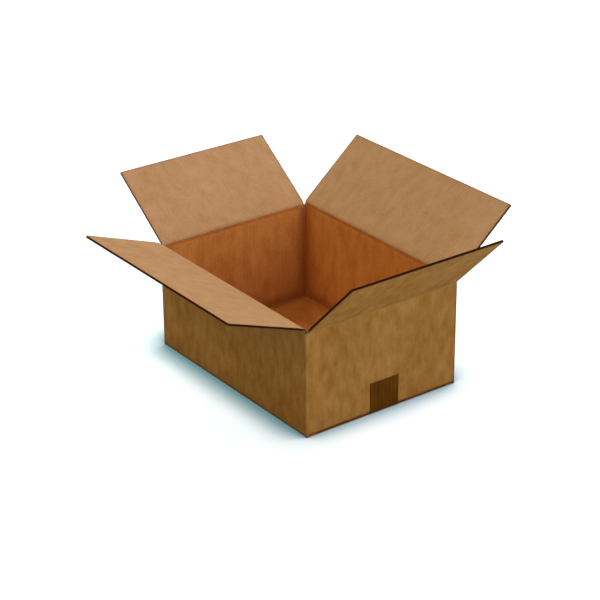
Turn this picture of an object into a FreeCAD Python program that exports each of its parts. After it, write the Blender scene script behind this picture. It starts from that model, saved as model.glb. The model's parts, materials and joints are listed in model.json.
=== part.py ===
import FreeCAD, Part
import math
import os

# Outside sizes of the carton in millimetres, over its closed flaps, without the tape
box_length = 350.0
box_width = 260.0
box_height = 160.0

# Single-wall corrugated board: two liners and a wavy medium between them
board_thickness = 3.0
liner_thickness = 0.35
medium_thickness = 0.25
flute_pitch = 6.5
flute_web = 0.45
flute_foot = 1.1

# Folds
fold_radius = 2.5
corner_radius = 1.5
crease_gap = 0.3
hinge_offset = 0.15
crushed_strip = 5.0

# Clearances between the flaps
layer_gap = 0.3
seam_gap = 1.0
major_flap_inset = 1.0
minor_flap_clearance = 0.3
corner_foot_gap = 0.5

# The glued joint at the back right corner
glue_tab_width = 32.0
glue_tab_taper = 15.0
glue_tab_clearance = 1.5
joint_setback = 1.0
edge_groove_depth = 1.5

# The strip of tape over the bottom seam and up both ends
tape_width = 50.0
tape_thickness = 0.1
tape_tab_height = 48.0
tape_shift = 2.5

# How far each top flap has been opened, in degrees from closed
front_flap_angle = 160.1
back_flap_angle = 139.5
left_flap_angle = 144.2
right_flap_angle = 134.5

# Half sizes and levels that follow from the sizes above
half_length = box_length / 2
half_width = box_width / 2
inner_half_length = half_length - board_thickness
inner_half_width = half_width - board_thickness
floor_level = tape_thickness
inner_layer_level = floor_level + board_thickness + layer_gap
ring_level = inner_layer_level + fold_radius + layer_gap
top_level = floor_level + box_height
inner_top_level = top_level - board_thickness - layer_gap
slot_level = inner_top_level - crease_gap
closed_flap_level = inner_top_level - board_thickness
major_depth = half_width - seam_gap / 2
minor_depth = major_depth + board_thickness + layer_gap
minor_half_span = inner_half_width - minor_flap_clearance
major_half_span = half_length - major_flap_inset
joint_end = inner_half_length - major_flap_inset
spare = 5.0


def vector(x, y, z):
    return FreeCAD.Vector(x, y, z)


def prism(points, path):
    wire = Part.makePolygon(points + points[:1])
    return Part.Face(wire).extrude(path)


def box_between(low, high):
    size = high - low
    return Part.makeBox(size.x, size.y, size.z, low)


# Channels run along Y between y_start and y_end, in board whose outer face is at z = outer_z and whose
# inner face lies below it. They alternate between the two liners, so what is left is the wavy medium.
def flute_channels(x_start, x_end, y_start, y_end, outer_z):
    upper = outer_z - liner_thickness
    lower = outer_z - board_thickness + liner_thickness
    narrow = flute_foot / 2
    wide = flute_pitch / 2 - flute_web - narrow
    half_waves = int((x_end - x_start) / (flute_pitch / 2)) + 1
    first = (x_start + x_end) / 2 - half_waves * flute_pitch / 4
    channels = []
    for index in range(half_waves + 1):
        middle = first + index * flute_pitch / 2
        if index % 2:
            wide_z, narrow_z = upper, lower + medium_thickness
        else:
            wide_z, narrow_z = lower, upper - medium_thickness
        points = [
            vector(middle - wide, y_start, wide_z),
            vector(middle + wide, y_start, wide_z),
            vector(middle + narrow, y_start, narrow_z),
            vector(middle - narrow, y_start, narrow_z),
        ]
        channels.append(prism(points, vector(0, y_end - y_start, 0)))
    return channels


# A top flap lying closed, with its hinge axis along X through the origin. Its root is mitred, so that
# the closed flap and the wall meet like the two sides of a fold.
def closed_flap(x_start, x_end, depth):
    outer = -hinge_offset
    inner = outer - board_thickness
    lip = crease_gap / math.sqrt(2)
    profile = [
        vector(x_start, lip - outer, outer),
        vector(x_start, depth + hinge_offset, outer),
        vector(x_start, depth + hinge_offset, inner),
        vector(x_start, lip - inner, inner),
    ]
    slab = prism(profile, vector(x_end - x_start, 0, 0))
    root = hinge_offset + board_thickness + crushed_strip
    channels = flute_channels(x_start, x_end, root, depth + hinge_offset + spare, outer)
    return slab.cut(channels)


# Turns a closed flap open about its hinge, then takes it to its wall
def open_flap(flap, angle, axis_point, turn):
    flap.rotate(vector(0, 0, 0), vector(1, 0, 0), angle)
    flap.rotate(vector(0, 0, 0), vector(0, 0, 1), turn)
    flap.translate(axis_point)
    return flap


# The four walls in plan. The sheet's two ends meet at the back right corner, where the back wall turns
# inwards to become the glue tab and the right wall laps over it with its cut edge showing.
def wall_ring():
    inset = corner_radius * (1 - math.sqrt(0.5))
    left, right = -half_length, half_length
    front, back = -half_width, half_width
    turn = inner_half_length
    corners = [
        (vector(right, front + corner_radius, 0), vector(right - inset, front + inset, 0),
         vector(right - corner_radius, front, 0)),
        (vector(left + corner_radius, front, 0), vector(left + inset, front + inset, 0),
         vector(left, front + corner_radius, 0)),
        (vector(left, back - corner_radius, 0), vector(left + inset, back - inset, 0),
         vector(left + corner_radius, back, 0)),
        (vector(turn - corner_radius, back, 0), vector(turn - inset, back - inset, 0),
         vector(turn, back - corner_radius, 0)),
    ]
    joint = [vector(turn, back - joint_setback, 0), vector(right, back - joint_setback, 0)]
    edges = []
    for start, middle, end in corners:
        if edges:
            edges.append(Part.LineSegment(last, start).toShape())
        edges.append(Part.Arc(start, middle, end).toShape())
        last = end
    for point in joint + [corners[0][0]]:
        edges.append(Part.LineSegment(last, point).toShape())
        last = point
    outline = Part.Face(Part.Wire(edges))
    foot_level = floor_level + corner_foot_gap
    ring = outline.extrude(vector(0, 0, top_level - foot_level))
    ring.translate(vector(0, 0, foot_level))
    inside = box_between(
        vector(-inner_half_length, -inner_half_width, 0),
        vector(inner_half_length, inner_half_width, top_level + spare),
    )
    groove = box_between(
        vector(turn + liner_thickness, back - joint_setback - edge_groove_depth, ring_level),
        vector(right - liner_thickness, back, top_level + spare),
    )
    return ring.cut([inside, groove] + foot_gaps())


# Where the walls' feet fold in, the ring stops higher and leaves only the corners standing
def foot_gaps():
    return [
        box_between(
            vector(-major_half_span, -half_width, 0),
            vector(major_half_span, -inner_half_width, ring_level),
        ),
        box_between(
            vector(-major_half_span, inner_half_width, 0),
            vector(joint_end, half_width, ring_level),
        ),
        box_between(
            vector(-half_length, -inner_half_width, 0),
            vector(-inner_half_length, inner_half_width, ring_level),
        ),
        box_between(
            vector(inner_half_length, -inner_half_width, 0),
            vector(half_length, inner_half_width, ring_level),
        ),
    ]


# The tab on the inside of the right wall, cut back at a slant at both ends
def glue_tab():
    low = inner_layer_level + board_thickness + glue_tab_clearance
    high = closed_flap_level - glue_tab_clearance
    slant = glue_tab_width * math.tan(math.radians(glue_tab_taper))
    face_x = inner_half_length
    root_y = inner_half_width
    end_y = root_y - glue_tab_width
    points = [
        vector(face_x, root_y, low),
        vector(face_x, root_y, high),
        vector(face_x, end_y, high - slant),
        vector(face_x, end_y, low + slant),
    ]
    return prism(points, vector(-board_thickness, 0, 0))


# The foot of a wall and the bottom flap folded in from it. The wall's outer face is at y = 0 and the
# flap runs towards +Y, with its outer face at z = level.
def bottom_fold(x_start, x_end, depth, level):
    inset = fold_radius * (1 - math.sqrt(0.5))
    start = vector(x_start, 0, level + fold_radius)
    middle = vector(x_start, inset, level + inset)
    end = vector(x_start, fold_radius, level)
    points = [
        end,
        vector(x_start, depth, level),
        vector(x_start, depth, level + board_thickness),
        vector(x_start, board_thickness, level + board_thickness),
        vector(x_start, board_thickness, ring_level),
        vector(x_start, 0, ring_level),
        start,
    ]
    edges = [Part.Arc(start, middle, end).toShape()]
    for first, second in zip(points, points[1:]):
        edges.append(Part.LineSegment(first, second).toShape())
    return Part.Face(Part.Wire(edges)).extrude(vector(x_end - x_start, 0, 0))


def fluted_bottom_fold(x_start, x_end, depth, level):
    root = board_thickness + crushed_strip
    channels = flute_channels(x_start, x_end, root, depth + spare, level + board_thickness)
    return bottom_fold(x_start, x_end, depth, level).cut(channels)


# The waste above a wall's mitred crest, with the wall's outer face at y = 0 and the hinge at height level
def crest_waste(half_span, level):
    lip = crease_gap / math.sqrt(2)
    axis_z = level + hinge_offset
    outer_y = -spare
    inner_y = board_thickness
    outer_z = axis_z - lip - hinge_offset - outer_y
    inner_z = axis_z - lip - hinge_offset - inner_y
    top = top_level + 2 * spare
    points = [
        vector(-half_span, outer_y, outer_z),
        vector(-half_span, inner_y, inner_z),
        vector(-half_span, inner_y, top),
        vector(-half_span, outer_y, top),
    ]
    return prism(points, vector(2 * half_span, 0, 0))


def turned(shape, turn, x, y):
    shape.rotate(vector(0, 0, 0), vector(0, 0, 1), turn)
    shape.translate(vector(x, y, 0))
    return shape


# The slots between neighbouring top flaps, one at each corner, down to the crease
def corner_slots():
    slots = []
    for side_x in (-1, 1):
        for side_y in (-1, 1):
            near_x = side_x * inner_half_length
            near_y = side_y * inner_half_width
            far_x = side_x * (half_length + spare)
            far_y = side_y * (half_width + spare)
            low = vector(min(near_x, far_x), min(near_y, far_y), slot_level)
            high = vector(max(near_x, far_x), max(near_y, far_y), top_level + spare)
            slots.append(box_between(low, high))
    return slots


def box_shell():
    shell = wall_ring()
    pieces = [
        glue_tab(),
        turned(bottom_fold(-major_half_span, major_half_span, major_depth, floor_level), 0, 0, -half_width),
        turned(bottom_fold(-joint_end, major_half_span, major_depth, floor_level), 180, 0, half_width),
    ]
    for turn, x in ((90, half_length), (-90, -half_length)):
        fold = fluted_bottom_fold(-minor_half_span, minor_half_span, minor_depth, inner_layer_level)
        pieces.append(turned(fold, turn, x, 0))
    shell = shell.fuse(pieces).removeSplitter()
    waste = corner_slots()
    for turn, y in ((0, -half_width), (180, half_width)):
        waste.append(turned(crest_waste(half_length + spare, top_level), turn, 0, y))
    for turn, x in ((90, half_length), (-90, -half_length)):
        waste.append(turned(crest_waste(inner_half_width, inner_top_level), turn, x, 0))
    return shell.cut(waste).removeSplitter()


# Tape pressed flat over the seam between the outer bottom flaps and up the two end walls
def bottom_tape():
    low_y = tape_shift - tape_width / 2
    outer = half_length + tape_thickness
    band = box_between(
        vector(-outer, low_y, 0),
        vector(outer, low_y + tape_width, tape_tab_height),
    )
    inside = box_between(
        vector(-half_length, low_y - spare, floor_level),
        vector(half_length, low_y + tape_width + spare, tape_tab_height + spare),
    )
    return band.cut(inside)


def top_flaps():
    major_z = top_level + hinge_offset
    minor_z = inner_top_level + hinge_offset
    hinge_x = half_length + hinge_offset
    hinge_y = half_width + hinge_offset
    front = closed_flap(-major_half_span, major_half_span, major_depth)
    back = closed_flap(-joint_end, major_half_span, major_depth)
    left = closed_flap(-minor_half_span, minor_half_span, minor_depth)
    right = closed_flap(-minor_half_span, minor_half_span, minor_depth)
    return {
        "top_flap_front": open_flap(front, front_flap_angle, vector(0, -hinge_y, major_z), 0),
        "top_flap_back": open_flap(back, back_flap_angle, vector(0, hinge_y, major_z), 180),
        "top_flap_left": open_flap(left, left_flap_angle, vector(-hinge_x, 0, minor_z), -90),
        "top_flap_right": open_flap(right, right_flap_angle, vector(hinge_x, 0, minor_z), 90),
    }


def main():
    os.makedirs("parts", exist_ok=True)
    nodes = {"box_shell": box_shell(), "bottom_tape": bottom_tape()}
    nodes.update(top_flaps())
    for name, shape in nodes.items():
        shape.exportStep("parts/" + name + ".step")
        print(name, len(shape.Solids), shape.isValid(), round(shape.Volume), shape.BoundBox)


main()
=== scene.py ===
import json
import math
import bpy
from mathutils import Matrix, Vector


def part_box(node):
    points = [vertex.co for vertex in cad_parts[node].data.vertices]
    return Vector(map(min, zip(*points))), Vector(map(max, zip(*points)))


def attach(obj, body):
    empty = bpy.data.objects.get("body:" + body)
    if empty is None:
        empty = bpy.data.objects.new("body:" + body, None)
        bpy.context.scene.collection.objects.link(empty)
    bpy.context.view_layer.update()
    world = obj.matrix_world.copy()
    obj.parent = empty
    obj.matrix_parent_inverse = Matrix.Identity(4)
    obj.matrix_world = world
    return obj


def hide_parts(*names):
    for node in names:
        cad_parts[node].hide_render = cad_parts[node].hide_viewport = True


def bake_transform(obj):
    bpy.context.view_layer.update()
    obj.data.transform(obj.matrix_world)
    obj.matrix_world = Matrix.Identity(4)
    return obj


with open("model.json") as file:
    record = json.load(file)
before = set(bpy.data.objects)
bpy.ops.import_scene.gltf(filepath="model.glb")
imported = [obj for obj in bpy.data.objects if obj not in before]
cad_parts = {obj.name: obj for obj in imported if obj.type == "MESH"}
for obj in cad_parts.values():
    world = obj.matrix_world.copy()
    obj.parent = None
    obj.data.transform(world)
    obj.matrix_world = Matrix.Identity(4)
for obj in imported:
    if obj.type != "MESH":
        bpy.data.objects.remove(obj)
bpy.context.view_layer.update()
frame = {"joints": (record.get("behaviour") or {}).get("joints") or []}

print("frame loaded")

# Single-wall board, in metres
board = {
    "thickness": 0.003,
    "liner": 0.00035,
    "medium": 0.00025,
    "pitch": 0.0065,
    "waveSteps": 10.0,
    "foldRadius": 0.0025,
    "creaseGap": 0.0003,
    "layerGap": 0.0003,
    "seamGap": 0.001,
    "pinch": 0.2,  # share of the thickness that is crushed at a crease
    "pinchReach": 0.008,
    "crushedStrip": 0.005,
    "warp": 0.0002,
}

# Levels and reaches that several pieces share, from the CAD box and its joints
shellLow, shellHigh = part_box("box_shell")
halfLength = shellHigh[0]
halfWidth = shellHigh[1]
floorLevel = shellLow[2]
joints = {joint["child"]: joint for joint in frame["joints"]}
hingeOut = -joints["front_flap"]["pos_m"][1] - halfWidth
lip = board["creaseGap"] / math.sqrt(2)
majorDepth = halfWidth + hingeOut - board["seamGap"] / 2
minorDepth = majorDepth + board["thickness"] + board["layerGap"]
innerLayerLevel = floorLevel + board["thickness"] + board["layerGap"]
ringLevel = innerLayerLevel + board["foldRadius"] + board["layerGap"]
creasedThickness = board["thickness"] * (1 - board["pinch"])


class Wire:
    # one output of a node, used like a number
    def __init__(self, tree, socket=None):
        self.tree = tree
        self.socket = socket

    def add(self, kind, settings=None, links=None, output=0):
        node = self.tree.nodes.new(kind)
        for name, value in (settings or {}).items():
            setattr(node, name, value)
        for name, value in (links or {}).items():
            if isinstance(value, Wire):
                self.tree.links.new(value.socket, node.inputs[name])
            else:
                node.inputs[name].default_value = value
        return Wire(self.tree, node.outputs[output])

    def math(self, operation, first, second):
        return self.add("ShaderNodeMath", {"operation": operation}, {0: first, 1: second})

    def __add__(self, other):
        return self.math("ADD", self, other)

    def __radd__(self, other):
        return self.math("ADD", other, self)

    def __sub__(self, other):
        return self.math("SUBTRACT", self, other)

    def __rsub__(self, other):
        return self.math("SUBTRACT", other, self)

    def __mul__(self, other):
        return self.math("MULTIPLY", self, other)

    def __rmul__(self, other):
        return self.math("MULTIPLY", other, self)

    def __truediv__(self, other):
        return self.math("DIVIDE", self, other)

    def smooth(self, low, high, first=0.0, last=1.0):
        values = {"Value": self, "From Min": low, "From Max": high, "To Min": first, "To Max": last}
        return self.add("ShaderNodeMapRange", {"interpolation_type": "SMOOTHSTEP"}, values)

    def colours(self, first, second):  # 6, 7 and output 2 are the mix node's colour sockets
        picked = {"Factor": self, 6: first, 7: second}
        return self.add("ShaderNodeMix", {"data_type": "RGBA"}, picked, 2)

    def scaled(self, x, y, z=1.0):
        return self.add("ShaderNodeVectorMath", {"operation": "MULTIPLY"}, {0: self, 1: (x, y, z)})

    def noise(self, x, y, detail=2.0, roughness=0.5):  # cells per metre along u and v
        values = {"Vector": self.scaled(x, y), "Scale": 1.0, "Detail": detail, "Roughness": roughness}
        return self.add("ShaderNodeTexNoise", links=values) - 0.5


def linear(red, green, blue):
    def channel(value):
        value = value / 255
        return value / 12.92 if value <= 0.04045 else ((value + 0.055) / 1.055) ** 2.4

    return (channel(red), channel(green), channel(blue), 1)


def newMaterial(name):
    material = bpy.data.materials.new(name)
    material.use_nodes = True
    tree = material.node_tree
    shader = tree.nodes["Principled BSDF"]
    return material, Wire(tree), shader


# -1 to 1 across each flute that shows through the liner
def fluteWave(wire, sheet):
    across = wire.add("ShaderNodeSeparateXYZ", links={0: sheet.scaled(2 * math.pi / board["pitch"], 1)})
    return wire.add("ShaderNodeMath", {"operation": "SINE"}, {0: across})


def feed(shader, name, value):
    if isinstance(value, Wire):
        value.tree.links.new(value.socket, shader.inputs[name])
    else:
        shader.inputs[name].default_value = value


# Cells per metre of the paper's own pattern, and how rough it is
paper = {
    "fibreCells": (420, 1300),
    "patchCells": (11, 8),
    "grainCells": (330, 260),
    "fleckCells": (700, 2600),
    "fleckRange": (0.16, 0.28),
    "rimStart": 0.15,  # share of the rim's width that is fully darkened, by wear and painted shade
    "roughness": 0.86,
    "fibreRoughness": 0.16,
    "fibreRelief": 0.00002,
    "cloudRelief": 0.0001,
}


# Brown kraft liner: the sheet's own UV map is in metres, u across the flutes and v along them, and the
# attribute rim is the distance from the nearest darkened edge, where wear and painted shade go
def kraftMaterial(name, look):
    material, wire, shader = newMaterial(name)
    sheet = wire.add("ShaderNodeTexCoord", output="UV")
    rim = wire.add("ShaderNodeAttribute", {"attribute_name": "rim"}, output="Fac")
    clouds = sheet.noise(*look["cloudCells"], detail=3.0, roughness=0.55)
    fibres = sheet.noise(*paper["fibreCells"], detail=4.0)
    flutes = fluteWave(wire, sheet)
    tone = (
        0.5
        + clouds * look["clouds"]
        + sheet.noise(*paper["patchCells"]) * look["patches"]
        + sheet.noise(*look["streakCells"], detail=3.0) * look["streaks"]
        + sheet.noise(*paper["grainCells"], detail=3.0) * look["grain"]
        + fibres * look["fibres"]
        # the flute stripes in the tone are painted shade of the washboard ridges, next to their bump
        + flutes * look["flutes"]
    )
    base = tone.colours(linear(*look["dark"]), linear(*look["light"]))
    flecks = sheet.noise(*paper["fleckCells"], detail=1.0).smooth(*paper["fleckRange"])
    base = (flecks * look["flecks"]).colours(base, linear(*look["fleck"]))
    # the rim colour is wear mixed with painted shade along the edges, folds and corners
    wornAndShaded = rim.smooth(look["rimWidth"] * paper["rimStart"], look["rimWidth"], look["rim"], 0.0)
    base = (wornAndShaded * (1 + clouds)).colours(base, linear(*look["rimColour"]))
    feed(shader, "Base Color", base)
    feed(shader, "Roughness", paper["roughness"] + fibres * paper["fibreRoughness"])
    feed(shader, "Specular IOR Level", look["shine"])
    height = flutes * look["relief"] + fibres * paper["fibreRelief"] + clouds * paper["cloudRelief"]
    bump = wire.add("ShaderNodeBump", links={"Strength": 1.0, "Distance": 1.0, "Height": height})
    feed(shader, "Normal", bump)
    return material


outerLook = {
    "dark": (132, 83, 25), "light": (171, 120, 61), "cloudCells": (80, 38), "clouds": 1.5, "patches": 0.8,
    "streakCells": (230, 14), "streaks": 0.12, "grain": 0.4, "fibres": 0.2, "flutes": 0.015,
    # outside, the rim paints a dark line of shade along the foot and at the corners, mixed with wear
    "flecks": 0.3, "fleck": (96, 60, 24), "rimWidth": 0.004, "rim": 0.8, "rimColour": (86, 36, 2),
    "relief": 0.00002, "shine": 0.05,
}
flapLook = {
    "dark": (160, 116, 71), "light": (193, 148, 106), "cloudCells": (58, 44), "clouds": 0.9, "patches": 0.5,
    "streakCells": (230, 14), "streaks": 0.2, "grain": 0.6, "fibres": 0.3, "flutes": 0.02,
    "flecks": 0.3, "fleck": (120, 82, 48), "rimWidth": 0.0024, "rim": 0.7, "rimColour": (128, 62, 20),
    "relief": 0.00002, "shine": 0.1,
}
# The inner walls and floor: a redder copy of the flaps' inner liner, whose colour paints the reddish shade
# inside the box, and whose wide dark rim paints the shade in the inside corners and along the bottom
insideShadeLook = dict(
    flapLook, dark=(174, 105, 42), light=(210, 140, 70), cloudCells=(60, 26), clouds=1.5, streaks=0.15,
    flutes=0.04, rimWidth=0.022, rim=0.4, rimColour=(118, 36, 2), relief=0.00003, shine=0.0)
outerLiner = kraftMaterial("kraftOutside", outerLook)
flapLiner = kraftMaterial("kraftFlapInside", flapLook)
insideShadeLiner = kraftMaterial("kraftInside", insideShadeLook)
bottomLiner = kraftMaterial("kraftBottom", dict(insideShadeLook, rimWidth=0.0016))
# a darker copy of the inside liner: painted shade in the inner crease at the top of the walls
creaseShadeLiner = kraftMaterial("kraftCrease", dict(insideShadeLook, dark=(142, 80, 32), light=(174, 108, 54)))


cutPaper = {
    "grainCells": 900.0,
    "patchCells": 120.0,
    "grain": 1.2,
    "patches": 0.8,
    "roughness": 0.95,
    "shine": 0.1,
    "bump": 0.6,
    "relief": 0.0002,
}


# Raw board where it was cut, and the medium inside it
def cutMaterial(name, dark, light):
    material, wire, shader = newMaterial(name)
    place = wire.add("ShaderNodeTexCoord", output="Object")
    grain, patches = (
        wire.add("ShaderNodeTexNoise", links={"Vector": place, "Scale": cutPaper[cells], "Detail": detail})
        for cells, detail in (("grainCells", 3.0), ("patchCells", 2.0))
    )
    tone = 0.5 + (grain - 0.5) * cutPaper["grain"] + (patches - 0.5) * cutPaper["patches"]
    feed(shader, "Base Color", tone.colours(linear(*dark), linear(*light)))
    feed(shader, "Roughness", cutPaper["roughness"])
    feed(shader, "Specular IOR Level", cutPaper["shine"])
    bump = wire.add(
        "ShaderNodeBump",
        links={"Strength": cutPaper["bump"], "Distance": cutPaper["relief"], "Height": grain})
    feed(shader, "Normal", bump)
    return material


# near-black board: the dark colour paints the shade along the cut edges and in the open flutes
rawCutShaded = cutMaterial("kraftCut", (44, 24, 10), (84, 50, 24))
bottomCut = cutMaterial("kraftBottomCut", (104, 52, 10), (150, 90, 34))

film = {
    "dark": (72, 36, 0),
    "light": (98, 56, 0),
    "patchCells": (70, 45),
    "wrinkleCells": (30, 160),
    "streakCells": (260, 12),
    "streaks": 0.8,
    "flutes": 0.12,
    "roughness": 0.42,
    "patchRoughness": 0.3,
    "shine": 0.03,
    "bump": 0.6,
    "fluteRelief": 0.00003,
    "wrinkleRelief": 0.0002,
}


# Brown packing film, pressed on so that the flutes and a few wrinkles show in it
def tapeMaterial(name):
    material, wire, shader = newMaterial(name)
    sheet = wire.add("ShaderNodeTexCoord", output="UV")
    patches = sheet.noise(*film["patchCells"], detail=3.0)
    wrinkles = sheet.noise(*film["wrinkleCells"])
    flutes = fluteWave(wire, sheet)
    # the flute stripes in the film's tone are painted shade of the ridges under it
    tone = 0.5 + patches + sheet.noise(*film["streakCells"]) * film["streaks"] + flutes * film["flutes"]
    feed(shader, "Base Color", tone.colours(linear(*film["dark"]), linear(*film["light"])))
    feed(shader, "Roughness", film["roughness"] + patches * film["patchRoughness"])
    feed(shader, "Specular IOR Level", film["shine"])
    height = flutes * film["fluteRelief"] + wrinkles * film["wrinkleRelief"]
    bump = wire.add("ShaderNodeBump", links={"Strength": film["bump"], "Distance": 1.0, "Height": height})
    feed(shader, "Normal", bump)
    return material


brownFilm = tapeMaterial("brownFilm")
print("materials made")


def newMesh(name, points, faces, materials, faceMaterial, pointUv, rims=None):
    mesh = bpy.data.meshes.new(name)
    mesh.from_pydata([tuple(point) for point in points], [], faces)
    for material in materials:
        mesh.materials.append(material)
    mesh.polygons.foreach_set("material_index", faceMaterial)
    uv = mesh.uv_layers.new(name="sheet")
    for loop in mesh.loops:
        uv.data[loop.index].uv = pointUv[loop.vertex_index]
    rim = mesh.attributes.new("rim", "FLOAT", "POINT")
    rim.data.foreach_set("value", rims or [1.0] * len(points))
    mesh.validate()
    mesh.update()
    return mesh


def smoothSides(mesh, angle=35):
    mesh.polygons.foreach_set("use_smooth", [True] * len(mesh.polygons))
    mesh.set_sharp_from_angle(angle=math.radians(angle))


def newPiece(name, mesh):
    piece = bpy.data.objects.new(name, mesh)
    bpy.context.scene.collection.objects.link(piece)
    return piece


def joinMeshes(name, meshes):
    pieces = [newPiece(name, mesh) for mesh in meshes]
    with bpy.context.temp_override(
        active_object=pieces[0], selected_objects=pieces, selected_editable_objects=pieces
    ):
        bpy.ops.object.join()
    return pieces[0]


panelGrid = {
    "linerColumns": 61,
    "linerRows": 41,
    "waveRows": 7,
    "rootColumns": 40,
    "rootRows": 6,
    "warpCells": 11.0,
    "warpFrom": 0.012,
    "warpFull": 0.07,
}


def panelValues(width, depth, seed, **more):
    values = {
        "Width": width, "Depth": depth, "Seed": seed, "Thickness": board["thickness"],
        "Liner": board["liner"], "Medium": board["medium"], "Pitch": board["pitch"],
        "Wave Steps": board["waveSteps"], "Crushed": board["crushedStrip"], "Offset": hingeOut,
        "Lip": lip, "Mitre": 1.0, "Pinch": board["pinch"], "Pinch Reach": board["pinchReach"],
        "Warp": board["warp"],
    }
    values.update(more)
    return values


def panelGroup():
    tree = bpy.data.node_groups.new("corrugatedPanel", "GeometryNodeTree")
    tree.interface.new_socket("Geometry", in_out="INPUT", socket_type="NodeSocketGeometry")
    for name, value in panelValues(majorDepth, majorDepth, 0.0).items():  # each panel sets its own
        socket = tree.interface.new_socket(name, in_out="INPUT", socket_type="NodeSocketFloat")
        socket.default_value = value
    for name in ("Outside", "Inside", "Cut"):
        tree.interface.new_socket(name, in_out="INPUT", socket_type="NodeSocketMaterial")
    tree.interface.new_socket("Geometry", in_out="OUTPUT", socket_type="NodeSocketGeometry")
    entry = tree.nodes.new("NodeGroupInput")
    return tree, {socket.name: Wire(tree, socket) for socket in entry.outputs if socket.name}


# The flat liners, the wavy medium and the strip at the root where the flutes are crushed shut. The face
# attribute ply is 1 on the outer liner and 2 on the inner one.
def panelPlies(wire, given, x):
    width, depth, liner, medium = (given[name] for name in ("Width", "Depth", "Liner", "Medium"))
    outer = 0 - given["Offset"]
    inner = outer - given["Thickness"]
    core = (outer + inner) / 2
    crushed = given["Crushed"]

    def ply(mark, start, middle, height, columns, rows):
        size = wire.add("ShaderNodeCombineXYZ", links={0: width, 1: depth - start, 2: height})
        cube = wire.add(
            "GeometryNodeMeshCube",
            links={"Size": size, "Vertices X": columns, "Vertices Y": rows, "Vertices Z": 2})
        place = wire.add("ShaderNodeCombineXYZ", links={1: (depth + start) / 2, 2: middle})
        moved = wire.add("GeometryNodeTransform", links={"Geometry": cube, "Translation": place})
        marked = {"Geometry": moved, "Name": "ply", "Value": mark}
        return wire.add("GeometryNodeStoreNamedAttribute", {"data_type": "INT", "domain": "FACE"}, marked)

    swing = (given["Thickness"] - 2 * liner - medium) / 2
    turn = x * (2 * math.pi) / given["Pitch"] + given["Seed"]
    wave = swing * wire.add("ShaderNodeMath", {"operation": "SINE"}, {0: turn})
    waveColumns = width / given["Pitch"] * given["Wave Steps"]
    flat = ply(0, crushed, core, medium, waveColumns, panelGrid["waveRows"])
    lift = wire.add("ShaderNodeCombineXYZ", links={2: wave})
    wavy = wire.add("GeometryNodeSetPosition", links={"Geometry": flat, "Offset": lift})
    rootHeight = given["Thickness"] - 2 * liner
    rootSize = wire.add("ShaderNodeCombineXYZ", links={0: width, 1: crushed, 2: rootHeight})
    root = wire.add("GeometryNodeMeshCube", links={
        "Size": rootSize, "Vertices X": panelGrid["rootColumns"], "Vertices Y": panelGrid["rootRows"],
        "Vertices Z": 2})
    rootPlace = wire.add("ShaderNodeCombineXYZ", links={1: crushed / 2, 2: core})
    root = wire.add("GeometryNodeTransform", links={"Geometry": root, "Translation": rootPlace})
    linerGrid = (panelGrid["linerColumns"], panelGrid["linerRows"])
    outerPly = ply(1, 0.0, outer - liner / 2, liner, *linerGrid)
    innerPly = ply(2, 0.0, inner + liner / 2, liner, *linerGrid)
    join = wire.tree.nodes.new("GeometryNodeJoinGeometry")
    for part in (wavy, root, outerPly, innerPly):
        wire.tree.links.new(part.socket, join.inputs[0])
    return Wire(wire.tree, join.outputs[0])


# Where each point ends: pinched and mitred towards the crease, and a little warped further out
def panelPlace(wire, given, sheet, x, y, z):
    depth = given["Depth"]
    squeeze = given["Pinch"] * (1 - (y / given["Pinch Reach"]).smooth(0.0, 1.0))
    pinched = z - (z + given["Offset"]) * squeeze
    start = given["Mitre"] * (given["Lip"] - pinched)
    slid = depth - (depth - y) * (depth - start) / depth
    ripple = wire.add(
        "ShaderNodeTexNoise", links={"Vector": sheet, "Scale": panelGrid["warpCells"], "Detail": 1.0})
    free = y.smooth(panelGrid["warpFrom"], panelGrid["warpFull"])
    bent = pinched + (ripple - 0.5) * 2 * given["Warp"] * free
    return wire.add("ShaderNodeCombineXYZ", links={0: x, 1: slid, 2: bent})


# The liners' outward faces get their paper, all other faces the cut board's look
def paintPanel(wire, given, plies):
    last = wire.add("GeometryNodeSetMaterial", links={"Geometry": plies, "Material": given["Cut"]})
    normal = wire.add("GeometryNodeInputNormal")
    facing = wire.add("ShaderNodeSeparateXYZ", links={0: normal}, output="Z")
    mark = wire.add("GeometryNodeInputNamedAttribute", {"data_type": "INT"}, {"Name": "ply"})
    for value, side, name in ((1, 1, "Outside"), (2, -1, "Inside")):
        same = wire.add("ShaderNodeMath", {"operation": "COMPARE"}, {0: mark, 1: value, 2: 0.1})
        towards = wire.add("ShaderNodeMath", {"operation": "GREATER_THAN"}, {0: facing * side, 1: 0.5})
        chosen = {"Geometry": last, "Selection": same * towards, "Material": given[name]}
        last = wire.add("GeometryNodeSetMaterial", links=chosen)
    return wire.add("GeometryNodeRemoveAttribute", links={"Geometry": last, "Name": "ply"})


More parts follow.
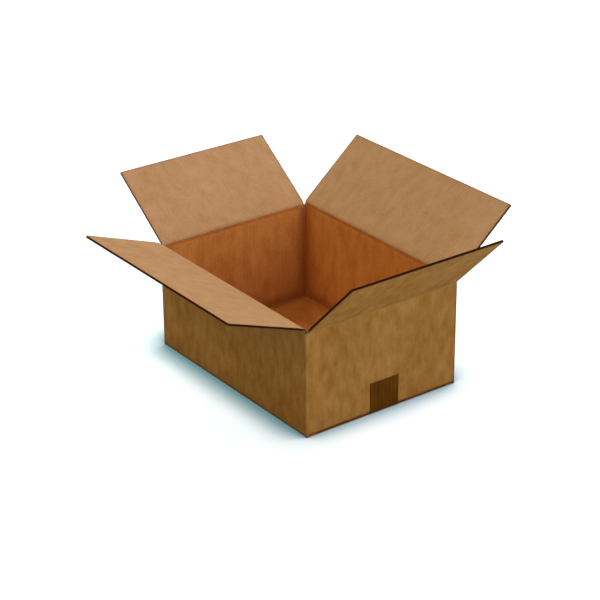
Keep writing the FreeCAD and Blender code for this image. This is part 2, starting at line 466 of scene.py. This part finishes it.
# One panel of corrugated board, lying as a closed flap: hinge axis along X through the origin, outer
# face up and free edge towards +Y. Two liners and a wavy medium; the root can be mitred.
def corrugatedTree():
    tree, given = panelGroup()
    wire = Wire(tree)
    position = wire.add("GeometryNodeInputPosition")
    x, y, z = (wire.add("ShaderNodeSeparateXYZ", links={0: position}, output=axis) for axis in "XYZ")
    sheet = wire.add("ShaderNodeCombineXYZ", links={0: x + given["Seed"], 1: y})
    mapped = wire.add(
        "GeometryNodeStoreNamedAttribute", {"data_type": "FLOAT2", "domain": "CORNER"},
        {"Geometry": panelPlies(wire, given, x), "Name": "sheet", "Value": sheet})
    sides = given["Width"] / 2 - wire.add("ShaderNodeMath", {"operation": "ABSOLUTE"}, {0: x})
    rim = wire.add("ShaderNodeMath", {"operation": "MINIMUM"}, {0: sides, 1: given["Depth"] - y})
    mapped = wire.add(
        "GeometryNodeStoreNamedAttribute", {"data_type": "FLOAT", "domain": "POINT"},
        {"Geometry": mapped, "Name": "rim", "Value": rim})
    target = panelPlace(wire, given, sheet, x, y, z)
    shaped = wire.add("GeometryNodeSetPosition", links={"Geometry": mapped, "Position": target})
    real = wire.add("GeometryNodeRealizeInstances", links={"Geometry": shaped})
    leave = tree.nodes.new("NodeGroupOutput")
    tree.links.new(paintPanel(wire, given, real).socket, leave.inputs[0])
    return tree


panelTree = corrugatedTree()


def corrugatedPanel(name, values, matrix, inside, cut):
    piece = newPiece(name, bpy.data.meshes.new(name))
    modifier = piece.modifiers.new("corrugated", "NODES")
    modifier.node_group = panelTree
    values = dict(values, Outside=outerLiner, Inside=inside, Cut=cut)
    for item in panelTree.interface.items_tree:
        if item.in_out == "INPUT" and item.name in values:
            modifier[item.identifier] = values[item.name]
    piece.update_tag()
    bpy.context.view_layer.update()
    evaluated = piece.evaluated_get(bpy.context.evaluated_depsgraph_get())
    mesh = bpy.data.meshes.new_from_object(evaluated)
    bpy.data.objects.remove(piece)
    mesh.name = name
    mesh.transform(matrix)
    smoothSides(mesh)
    return mesh


# The four top flaps, opened as the joints' rest angles say
flaps = {
    "front": {"turn": 0, "depth": majorDepth, "seed": 0.31},
    "back": {"turn": 180, "depth": majorDepth, "seed": 1.27},
    "left": {"turn": -90, "depth": minorDepth, "seed": 2.43},
    "right": {"turn": 90, "depth": minorDepth, "seed": 3.59},
}


# A flap's span along its crease, its opening angle and the matrix from its closed, flat place
def flapPlace(side):
    joint = joints[side + "_flap"]
    axis = Vector(joint["axis"])
    ends = sorted(Vector(corner).dot(axis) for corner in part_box("top_flap_" + side))
    turn = Matrix.Rotation(math.radians(flaps[side]["turn"]), 4, "Z")
    return ends, -joint["range_deg"][0], Matrix.Translation(joint["pos_m"]) @ turn


for side, flap in flaps.items():
    ends, angle, wallMatrix = flapPlace(side)
    values = panelValues(ends[1] - ends[0], flap["depth"], flap["seed"])
    opened = Matrix.Rotation(math.radians(angle), 4, "X")
    shift = Matrix.Translation(((ends[0] + ends[1]) / 2, 0, 0))
    matrix = wallMatrix @ opened @ shift
    piece = newPiece("flap_" + side, corrugatedPanel("flap_" + side, values, matrix, flapLiner, rawCutShaded))
    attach(piece, side + "_flap")
    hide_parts("top_flap_" + side)
print("top flaps made")


# A closed section in the YZ plane, swept along X. tags give each edge's material.
def sweptMesh(name, section, tags, span, steps, materials, capTag, matrix, sectionRims=None):
    count = len(section)
    points, pointUv, faces, faceMaterial = [], [], [], []
    lengths = [0.0]
    for first, second in zip(section, section[1:]):
        lengths.append(lengths[-1] + math.dist(first, second))
    for step in range(steps + 1):
        x = span[0] + (span[1] - span[0]) * step / steps
        for (y, z), length in zip(section, lengths):
            points.append((x, y, z))
            pointUv.append((x, length))
    for step in range(steps):
        for index in range(count):
            following = (index + 1) % count
            a, b = step * count + index, step * count + following
            faces.append((a, b, b + count, a + count))
            faceMaterial.append(tags[index])
    faces.append(tuple(reversed(range(count))))
    faces.append(tuple(steps * count + index for index in range(count)))
    faceMaterial += [capTag, capTag]
    rims = sectionRims and sectionRims * (steps + 1)
    mesh = newMesh(name, points, faces, materials, faceMaterial, pointUv, rims)
    mesh.transform(matrix)
    smoothSides(mesh)
    return mesh


crease = {
    "tongue": 0.0065,
    "shoulder": 0.72,
    "proud": 0.00008,
    "sunk": 0.00003,
    "chordSteps": 12,
    "sag": {"front": 0.0, "back": 0.0, "left": 0.0002, "right": 0.0004},
    "blendShare": 0.98,
    "skinFrom": 0.0001,
    "skinReach": 0.0014,
    "skinTaper": 0.6,
    "skinProud": 0.00006,
    "skinBand": 0.0004,
    "steps": 60,
}


# A point beside the wall, mirrored onto the opened flap
def onFlap(point, angle):
    away, along = point[0], -point[1]
    turn = math.radians(angle)
    return (
        along * math.cos(turn) + away * math.sin(turn),
        along * math.sin(turn) - away * math.cos(turn),
    )


# The bent board at a top crease, in the flap's closed frame: wall below the axis, inside towards +Y.
# Its face is a chord from the wall to the flap, which may sag to clear the closed flaps. The tags are
# 0 flap liner, 1 cut, 2 inside liner and 3 crease liner, a darker copy that paints the shade in the crease.
def creaseSection(angle, sag):
    outer = hingeOut + crease["sunk"]
    inner = hingeOut + creasedThickness
    face = inner + crease["proud"]
    wallSide = [
        (outer, -(outer + lip / 2)),
        (inner - crease["sunk"], -(inner + lip / 2)),
        (inner - crease["sunk"], -crease["tongue"]),
        (inner + crease["sunk"], -crease["tongue"]),
        (face, -crease["tongue"] * crease["shoulder"]),
        (face, -(inner + lip)),
    ]
    flapSide = [onFlap(point, angle) for point in reversed(wallSide)]
    start, end = Vector(wallSide[-1]), Vector(flapSide[0])
    dip = -(start + end).normalized() * sag
    shares = [step / crease["chordSteps"] for step in range(1, crease["chordSteps"])]
    chord = [tuple(start.lerp(end, share) + dip * math.sin(math.pi * share)) for share in shares]
    section = wallSide + chord + flapSide
    cutEdges = (0, 1, len(section) - 3, len(section) - 2, len(section) - 1)
    wallEnd, middle = len(wallSide) - 1, len(wallSide) + crease["chordSteps"] // 2
    tags = [1 if index in cutEdges else 2 if index < wallEnd else 3 if index < middle else 0
            for index in range(len(section))]
    return section, tags


# The outer liner where it bends: a thin strip over the gap between wall and flap
def skinSection(angle):
    face = hingeOut - crease["skinProud"]
    back = hingeOut + crease["sunk"]
    near, reach = crease["skinFrom"], crease["skinReach"]
    taper = reach * crease["skinTaper"]
    wallSide = [(face, -near), (face, -taper), (hingeOut, -reach), (back, -reach), (back, -near)]
    flapSide = [onFlap(point, angle) for point in reversed(wallSide)]
    section = wallSide + flapSide
    return section, [0] * len(section)


for side in flaps:
    ends, angle, wallMatrix = flapPlace(side)
    body = side + "_flap"
    axisPoint = Vector(joints[body]["pos_m"])
    turn = math.radians(angle)
    across = Vector((0, math.cos(turn), math.sin(turn) + 1)).normalized()
    across = wallMatrix.to_3x3() @ across
    section, tags = creaseSection(angle, crease["sag"][side])
    liners = [flapLiner, rawCutShaded, insideShadeLiner, creaseShadeLiner]
    mesh = sweptMesh("crease_" + side, section, tags, ends, crease["steps"], liners, 1, wallMatrix)
    piece = newPiece("crease_" + side, mesh)
    lean = turn / 2 - math.pi / 4
    reach = (hingeOut + creasedThickness + lip) * (math.cos(lean) + math.sin(lean)) * crease["blendShare"]
    axisPoint - across * reach
    axisPoint + across * reach
    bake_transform(piece)
    section, tags = skinSection(angle)
    mesh = sweptMesh("fold_line_" + side, section, tags, ends, crease["steps"], [outerLiner], 0, wallMatrix)
    piece = newPiece("fold_line_" + side, mesh)
    band = crease["skinBand"]
    axisPoint - across * band
    axisPoint + across * band
    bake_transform(piece)
print("creases made")

# The walls: one sheet that runs round the box from the end of the glue tab to the right wall's cut edge
walls = {
    "cornerRadius": 0.0015,
    "setback": 0.001,
    "tabWidth": 0.032,
    "tabSlant": 15.0,
    "tabClearance": 0.0015,
    "tabGlue": 0.00004,
    "footGap": 0.0005,
    "foldWear": 0.001,
    "slotEdge": 1e-5,
    "crestSetback": 1e-4,
    "tabSteps": 8,
    "cornerSteps": 8,
    "wallSteps": 40,
    "rows": 26,
    "rowEase": 1.6,
    "bow": 0.0005,
}
majorCrest = joints["front_flap"]["pos_m"][2] - 2 * hingeOut - lip
minorCrest = joints["left_flap"]["pos_m"][2] - 2 * hingeOut - lip
slotLevel = joints["left_flap"]["pos_m"][2] - hingeOut - board["creaseGap"]
tabTop = slotLevel + board["creaseGap"] - board["thickness"] - walls["tabClearance"]
footLevel = floorLevel + walls["footGap"]
innerHalfWidth = halfWidth - board["thickness"]
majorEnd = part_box("top_flap_front")[1][0]
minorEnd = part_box("top_flap_right")[1][1]
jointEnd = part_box("top_flap_back")[1][0]


# Each station has its outer and inner point, its lowest level and its crest, how far it may bow, and its
# normal. The columns at the corners have no crest: they end at the slots between the flaps.
def wallStations():
    thick, radius, steps = board["thickness"], walls["cornerRadius"], walls["wallSteps"]
    stations = []

    def straight(start, end, normal, crest, first, final):
        length = (end - start).length
        direction = (end - start) / length
        places = [0.0, first - walls["slotEdge"], first]
        places += [first + (final - first) * step / steps for step in range(1, steps)]
        places += [final, final + walls["slotEdge"], length]
        for place in places:
            outer = start + direction * place
            levels = (ringLevel, crest) if first <= place <= final else (footLevel, None)
            middle = math.sin(math.pi * place / length)
            stations.append((outer, outer - normal * thick, levels, middle, normal))

    def corner(centre, angle, inner):
        for step in range(1, walls["cornerSteps"]):
            direction = math.radians(angle + 90 * step / walls["cornerSteps"])
            normal = Vector((math.cos(direction), math.sin(direction)))
            stations.append((centre + normal * radius, inner, (footLevel, None), 0.0, normal))

    left, right, front, back = -halfLength, halfLength, -halfWidth, halfWidth
    fold = right - thick - walls["tabGlue"]
    reach = innerHalfWidth - (halfWidth - radius)
    edge = walls["crestSetback"]
    corner(Vector((fold - radius, back - radius)), 0, Vector((fold - thick, back - thick)))
    straight(Vector((fold - radius, back)), Vector((left + radius, back)), Vector((0, 1)), majorCrest,
             edge, fold - left - 2 * radius - edge)
    corner(Vector((left + radius, back - radius)), 90, Vector((left + thick, back - thick)))
    straight(Vector((left, back - radius)), Vector((left, front + radius)), Vector((-1, 0)), minorCrest,
             -reach, 2 * innerHalfWidth - reach)
    corner(Vector((left + radius, front + radius)), 180, Vector((left + thick, front + thick)))
    straight(Vector((left + radius, front)), Vector((right - radius, front)), Vector((0, -1)), majorCrest,
             edge, 2 * halfLength - 2 * radius - edge)
    corner(Vector((right - radius, front + radius)), 270, Vector((right - thick, front + thick)))
    straight(Vector((right, front + radius)), Vector((right, back - walls["setback"])), Vector((1, 0)),
             minorCrest, -reach, 2 * innerHalfWidth - reach)
    return stations, fold


def tabStations(fold):
    slant = math.tan(math.radians(walls["tabSlant"]))
    low = innerLayerLevel + board["thickness"] + walls["tabClearance"]
    stations = []
    for step in range(walls["tabSteps"], -1, -1):
        away = walls["tabWidth"] * step / walls["tabSteps"]
        outer = Vector((fold, innerHalfWidth - away))
        inner = outer - Vector((board["thickness"], 0))
        stations.append((outer, inner, low + slant * away, tabTop - slant * away))
    return stations


# Height shares of the rows, closer together near the crest
def rowShares():
    rows = walls["rows"]
    return [1 - (1 - row / rows) ** walls["rowEase"] for row in range(rows + 1)]


def wallMesh():
    stations, fold = wallStations()
    shares = rowShares()
    columns = []
    along = 0.0
    last = Vector((fold, innerHalfWidth - walls["tabWidth"]))
    for outer, inner, low, high in tabStations(fold):
        along += (outer - last).length
        last = outer
        levels = [low + (high - low) * share for share in shares]
        sides = [[(base.x, base.y, level) for level in levels] for base in (outer, inner)]
        columns.append((sides, along))
    for outer, inner, (low, crest), middle, normal in stations:
        along += (outer - last).length
        last = outer
        sides = []
        for face, base in ((0, outer), (1, inner)):
            top = slotLevel if crest is None else crest - face * creasedThickness
            column = []
            for share in shares:
                z = low + (top - low) * share
                height = (z - ringLevel) / (slotLevel - ringLevel)
                place = base - normal * walls["bow"] * middle * math.sin(math.pi * min(1, max(0, height)))
                if face and crest is not None:
                    depth = min(1, max(0, (crest - z) / board["pinchReach"]))
                    squeeze = board["pinch"] * board["thickness"] * (1 - depth * depth * (3 - 2 * depth))
                    place = place + normal * squeeze
                column.append((place.x, place.y, z))
            sides.append(column)
        columns.append((sides, along))
    return sheetMesh("walls", columns, len(shares))


# How far a point of the walls is from a darkened fold, where wear and painted shade go: outside, the bottom
# and all corners but the front right one; inside, the four corners and the bottom, where the rim paints the
# shade inside the box
def wearShadeDistance(side, x, y, z):
    depth = side * board["thickness"]
    corners = [(-1, -1), (-1, 1), (1, 1)] + [(1, -1)] * side
    reaches = [math.dist((x, y), (a * (halfLength - depth), b * (halfWidth - depth))) for a, b in corners]
    return min(reaches + [z - (ringLevel if side else floorLevel + walls["foldWear"])])


# A thick sheet from columns of outer and inner points, closed round all its edges
def sheetMesh(name, columns, rows):
    points, pointUv, rims, faces, faceMaterial = [], [], [], [], []
    for sides, along in columns:
        for side, column in enumerate(sides):
            points += column
            pointUv += [(along, z) for x, y, z in column]
            rims += [wearShadeDistance(side, *point) for point in column]

    def at(column, side, row):
        return (column * 2 + side) * rows + row

    lastColumn = len(columns) - 1
    for column in range(lastColumn):
        for row in range(rows - 1):
            faces.append((at(column, 0, row), at(column + 1, 0, row),
                          at(column + 1, 0, row + 1), at(column, 0, row + 1)))
            faces.append((at(column, 1, row), at(column, 1, row + 1),
                          at(column + 1, 1, row + 1), at(column + 1, 1, row)))
            faceMaterial += [0, 1]
        top = rows - 1
        faces.append((at(column, 0, top), at(column + 1, 0, top), at(column + 1, 1, top), at(column, 1, top)))
        faces.append((at(column, 0, 0), at(column, 1, 0), at(column + 1, 1, 0), at(column + 1, 0, 0)))
        faceMaterial += [2, 2]
    for row in range(rows - 1):
        faces.append((at(0, 0, row), at(0, 0, row + 1), at(0, 1, row + 1), at(0, 1, row)))
        faces.append((at(lastColumn, 0, row), at(lastColumn, 1, row),
                      at(lastColumn, 1, row + 1), at(lastColumn, 0, row + 1)))
        faceMaterial += [2, 2]
    mesh = newMesh(name, points, faces, [outerLiner, insideShadeLiner, rawCutShaded], faceMaterial, pointUv, rims)
    smoothSides(mesh, angle=25)
    return mesh


# The folded-in bottom: a foot bent from each wall, and a panel of open board that carries on from it
bottom = {
    "footDepth": 0.012,
    "foldSteps": 8,
    "fillet": 0.0006,
    "steps": 30,
}
bottomFlaps = [
    {"name": "front", "turn": 0, "out": halfWidth, "level": floorLevel, "depth": majorDepth - hingeOut,
     "span": (-majorEnd, majorEnd), "seed": 4.1},
    {"name": "back", "turn": 180, "out": halfWidth, "level": floorLevel, "depth": majorDepth - hingeOut,
     "span": (-majorEnd, jointEnd), "seed": 5.3},
    {"name": "right", "turn": 90, "out": halfLength, "level": innerLayerLevel, "depth": minorDepth - hingeOut,
     "span": (-minorEnd, minorEnd), "seed": 6.7},
    {"name": "left", "turn": -90, "out": halfLength, "level": innerLayerLevel, "depth": minorDepth - hingeOut,
     "span": (-minorEnd, minorEnd), "seed": 7.9},
]


# The foot of a wall, folded in under the box, with the wall's outer face at y = 0
def footSection(level, depth):
    thick, radius, fillet = board["thickness"], board["foldRadius"], bottom["fillet"]
    turns = [math.pi / 2 * step / bottom["foldSteps"] for step in range(bottom["foldSteps"] + 1)]
    fold = [(radius - radius * math.cos(turn), level + radius - radius * math.sin(turn)) for turn in turns]
    top = level + thick
    section = fold + [
        (depth, level), (depth, top), (thick + fillet, top), (thick, top + fillet), (thick, ringLevel),
        (0, ringLevel)]
    tags = [0] * len(fold) + [2, 1, 1, 1, 2, 0]
    return section, tags


def bottomMeshes():
    meshes = []
    for flap in bottomFlaps:
        turn = Matrix.Rotation(math.radians(flap["turn"]), 4, "Z")
        wall = turn @ Matrix.Translation((0, -flap["out"], 0))
        section, tags = footSection(flap["level"], bottom["footDepth"])
        # the foot's rim darkens its fold at the floor: wear with painted shade
        rims = [math.dist(point, (0, floorLevel)) - walls["foldWear"] for point in section]
        liners = [outerLiner, insideShadeLiner, bottomCut]
        meshes.append(sweptMesh(
            "foot_" + flap["name"], section, tags, flap["span"], bottom["steps"], liners, 2, wall, rims))
        width = flap["span"][1] - flap["span"][0]
        depth = flap["depth"] - bottom["footDepth"]
        values = panelValues(width, depth, flap["seed"], Mitre=0.0, Pinch=0.0, Warp=0.0, Lip=0.0)
        middle = (flap["span"][0] + flap["span"][1]) / 2
        place = wall @ Matrix.Translation((middle, bottom["footDepth"], flap["level"] - hingeOut))
        place = place @ Matrix.Rotation(math.pi, 4, "Y")
        meshes.append(corrugatedPanel("bottom_" + flap["name"], values, place, bottomLiner, bottomCut))
    return meshes


shell = joinMeshes("box_walls", [wallMesh()] + bottomMeshes())
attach(shell, "box")
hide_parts("box_shell")
print("walls and bottom made")

# The tape: pressed on the seam underneath and turned up both ends, each cut with a toothed blade
tape = {
    "width": 0.05,
    "shift": 0.0025,
    "tab": 0.048,
    "thickness": 0.0001,
    "filmShare": 0.9,  # of the thickness; the rest is the gap to the board
    "turnRadius": 0.003,
    "turnSteps": 8,
    "climbSteps": 5,
    "baseSteps": 12,
    "columns": 66,
    "toothDepth": 0.0005,
}


def tapeMesh():
    outerX = halfLength + tape["thickness"]
    radius = tape["turnRadius"]
    climb = [tape["tab"] * (1 - step / tape["climbSteps"]) for step in range(tape["climbSteps"])]
    path = [(-outerX, z, (-1, 0)) for z in climb]
    for step in range(tape["turnSteps"] + 1):
        angle = math.radians(180 + 90 * step / tape["turnSteps"])
        normal = (math.cos(angle), math.sin(angle))
        path.append((-outerX + radius + radius * normal[0], radius + radius * normal[1], normal))
    otherEnd = [(-x, z, (-normal[0], normal[1])) for x, z, normal in reversed(path)]
    for step in range(1, tape["baseSteps"]):
        path.append((-halfLength + 2 * halfLength * step / tape["baseSteps"], 0.0, (0, -1)))
    path += otherEnd
    low = tape["shift"] - tape["width"] / 2
    points, pointUv, faces, faceMaterial = [], [], [], []
    along, last = 0.0, path[0]
    rows = tape["columns"] + 1
    for index, (x, z, normal) in enumerate(path):
        along += math.dist((x, z), (last[0], last[1]))
        last = (x, z)
        for side in (0, 1):
            for row in range(rows):
                y = low + tape["width"] * row / tape["columns"]
                tooth = tape["toothDepth"] * (row % 2) if index in (0, len(path) - 1) else 0.0
                depth = side * tape["thickness"] * tape["filmShare"]
                points.append((x - normal[0] * depth, y, z - normal[1] * depth - tooth))
                pointUv.append((y, along))

    def at(column, side, row):
        return (column * 2 + side) * rows + row

    final = len(path) - 1
    for column in range(final):
        for row in range(rows - 1):
            faces.append((at(column, 0, row), at(column, 0, row + 1),
                          at(column + 1, 0, row + 1), at(column + 1, 0, row)))
            faces.append((at(column, 1, row), at(column + 1, 1, row),
                          at(column + 1, 1, row + 1), at(column, 1, row + 1)))
        faces.append((at(column, 0, 0), at(column + 1, 0, 0), at(column + 1, 1, 0), at(column, 1, 0)))
        faces.append((at(column, 0, rows - 1), at(column, 1, rows - 1),
                      at(column + 1, 1, rows - 1), at(column + 1, 0, rows - 1)))
    for row in range(rows - 1):
        faces.append((at(0, 0, row), at(0, 1, row), at(0, 1, row + 1), at(0, 0, row + 1)))
        faces.append((at(final, 0, row), at(final, 0, row + 1), at(final, 1, row + 1), at(final, 1, row)))
    mesh = newMesh("tape", points, faces, [brownFilm], [0] * len(faces), pointUv)
    smoothSides(mesh)
    return mesh


tapePiece = newPiece("tape", tapeMesh())
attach(tapePiece, "box")
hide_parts("bottom_tape")
print("tape made")

# Floor, lamps and camera
studio = {
    "floorSize": 12.0,
    "floorDrop": 0.0001,
    "floorColour": (0.68, 0.82, 0.89, 1),
    "floorGlow": 0.55,
    # contact: a painted shadow round the box's foot
    "contactReach": 0.06,
    "contactRange": (0.5, 1.0),
    "contactSamples": 8,
    "contactColour": (0.13, 0.27, 0.3, 1),
    "contactLean": 0.3,
    "ambient": (0.02, 0.02, 0.02, 1),
}
lamps = {
    "backLamp": {"from": (0.0, 1.0, 1.0), "strength": 1.49, "colour": (1.0, 0.91, 0.92), "angle": 50.0},
    "leftLamp": {"from": (-1.0, 0.0, 1.0), "strength": 1.55, "colour": (0.79, 0.98, 1.0), "angle": 50.0},
    "frontLamp": {"from": (0.0, -1.0, 1.0), "strength": 1.27, "colour": (1.0, 0.88, 0.68), "angle": 50.0},
    "rightLamp": {"from": (1.0, 0.0, 0.35), "strength": 2.2, "colour": (0.76, 0.84, 1.0), "angle": 40.0},
}


# 1 where the surface is seen directly, in a gloss or through glass
def seenRays(wire):
    names = ("Is Camera Ray", "Is Glossy Ray", "Is Transmission Ray")
    camera, glossy, through = (wire.add("ShaderNodeLightPath", output=name) for name in names)
    return camera.math("MAXIMUM", camera, glossy.math("MAXIMUM", glossy, through))


def makeFloor():
    half = studio["floorSize"] / 2
    z = -studio["floorDrop"]
    corners = [(-half, -half, z), (half, -half, z), (half, half, z), (-half, half, z)]
    mesh = bpy.data.meshes.new("floor")
    mesh.from_pydata(corners, [], [(0, 1, 2, 3)])
    material, wire, shader = newMaterial("floorPaper")
    # The floor's colour and glow are darkened near the box by an ambient occlusion test: a painted contact
    # shadow in a cyan colour, leaned towards +X so that it is lighter on that side
    lean = wire.add("ShaderNodeCombineXYZ", links={0: studio["contactLean"], 2: 1.0})
    near = wire.add(
        "ShaderNodeAmbientOcclusion", {"samples": studio["contactSamples"]},
        {"Distance": studio["contactReach"], "Normal": lean}, output="AO")
    shade = near.smooth(*studio["contactRange"]).colours(studio["contactColour"], (1, 1, 1, 1))
    shaded = wire.add(
        "ShaderNodeMix", {"data_type": "RGBA", "blend_type": "MULTIPLY"},
        {0: 1.0, 6: studio["floorColour"], 7: shade}, output=2)
    feed(shader, "Base Color", shaded)
    feed(shader, "Roughness", 1.0)
    feed(shader, "Specular IOR Level", 0.0)
    feed(shader, "Emission Color", seenRays(wire).colours((0, 0, 0, 1), shade))
    feed(shader, "Emission Strength", studio["floorGlow"])
    mesh.materials.append(material)
    floor = newPiece("floor", mesh)


def makeWorld():
    world = bpy.data.worlds.new("studio")
    bpy.context.scene.world = world
    world.use_nodes = True
    tree = world.node_tree
    colour = seenRays(Wire(tree)).colours(studio["ambient"], (1, 1, 1, 1))
    tree.links.new(colour.socket, tree.nodes["Background"].inputs["Color"])


def makeLamps():
    for name, lamp in lamps.items():
        data = bpy.data.lights.new(name, "SUN")
        data.energy = lamp["strength"]
        data.color = lamp["colour"]
        data.angle = math.radians(lamp["angle"])
        piece = bpy.data.objects.new(name, data)
        piece.rotation_mode = "QUATERNION"
        piece.rotation_quaternion = Vector(lamp["from"]).to_track_quat("Z", "Y")
        bpy.context.scene.collection.objects.link(piece)


view = {
    "azimuth": 53.619,
    "elevation": 25.637,
    "roll": -0.412,
    "distance": 2.7373,
    "aimHeight": 0.08,
    "aimRight": -0.00862,
    "aimUp": 0.01886,
    "lens": 115.475,
}


def makeCamera():
    azimuth, elevation, roll = (math.radians(view[name]) for name in ("azimuth", "elevation", "roll"))
    level = math.cos(elevation)
    back = Vector((math.sin(azimuth) * level, -math.cos(azimuth) * level, math.sin(elevation)))
    flatRight = Vector((math.cos(azimuth), math.sin(azimuth), 0))
    flatUp = back.cross(flatRight)
    right = flatRight * math.cos(roll) + flatUp * math.sin(roll)
    up = flatUp * math.cos(roll) - flatRight * math.sin(roll)
    place = Vector((0, 0, view["aimHeight"])) + back * view["distance"]
    place += right * view["aimRight"] + up * view["aimUp"]
    data = bpy.data.cameras.new("camera")
    data.lens = view["lens"]
    camera = bpy.data.objects.new("camera", data)
    camera.matrix_world = Matrix.Translation(place) @ Matrix((right, up, back)).transposed().to_4x4()
    bpy.context.scene.collection.objects.link(camera)
    bpy.context.scene.camera = camera


makeFloor()
makeWorld()
makeLamps()
makeCamera()
bpy.context.scene.view_settings.view_transform = "Standard"
print("studio made")
